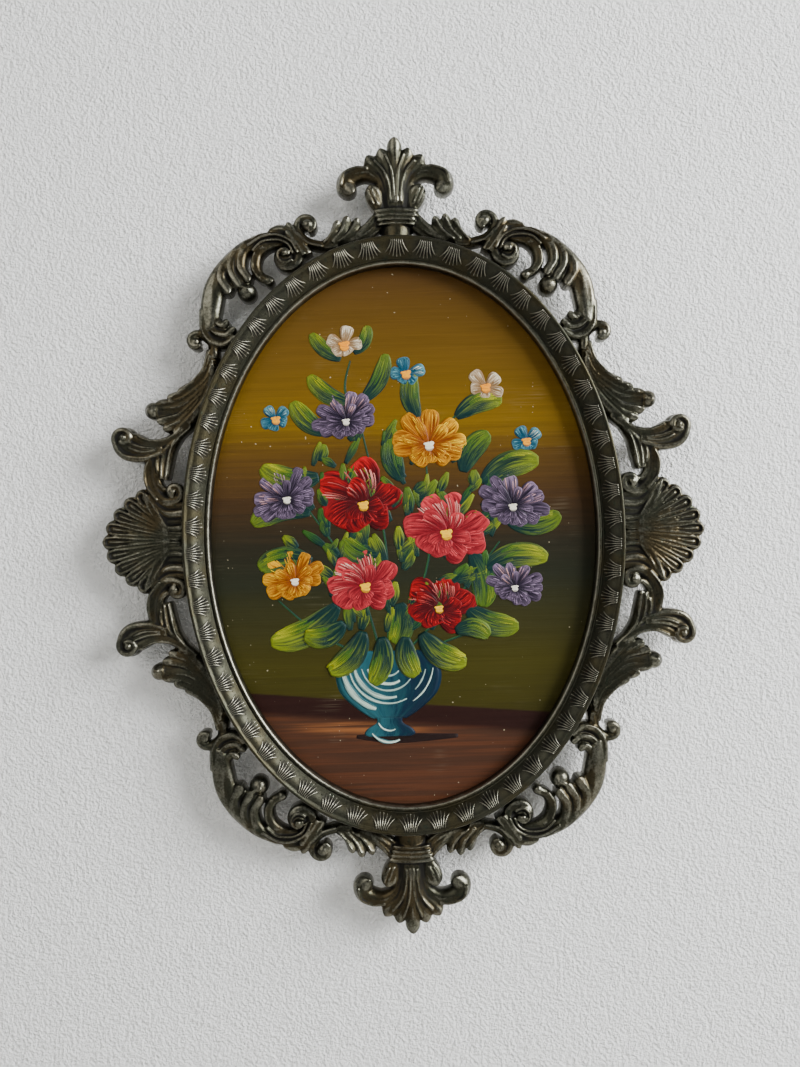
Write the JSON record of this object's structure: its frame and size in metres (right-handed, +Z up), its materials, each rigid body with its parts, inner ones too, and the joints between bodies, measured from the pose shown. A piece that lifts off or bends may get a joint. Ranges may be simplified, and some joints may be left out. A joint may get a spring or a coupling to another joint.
{
  "type": "framed oil painting",
  "caption": "Small oval oil painting of flowers in a patinated cast openwork frame with scrolls, side shells and finials, made to hang on a wall.",
  "frame": {"origin": "centre of the painted panel's flat back, which rests against the wall", "axes": "+Z up the height of the frame, +Y out of the back towards the wall, +X to the viewer's right; the picture faces -Y"},
  "size_m": [0.1964, 0.011, 0.2556],
  "materials": {
    "cast_metal": "dark patina, rubbed edges",
    "pressed_metal": "dark patina, rubbed edges",
    "oil_paint": "oil paint on board, slight gloss"
  },
  "bodies": {
    "root": {"openwork_frame": "cast_metal", "oval_bezel": "pressed_metal", "painted_panel": "oil_paint"}
  },
  "joints": []
}
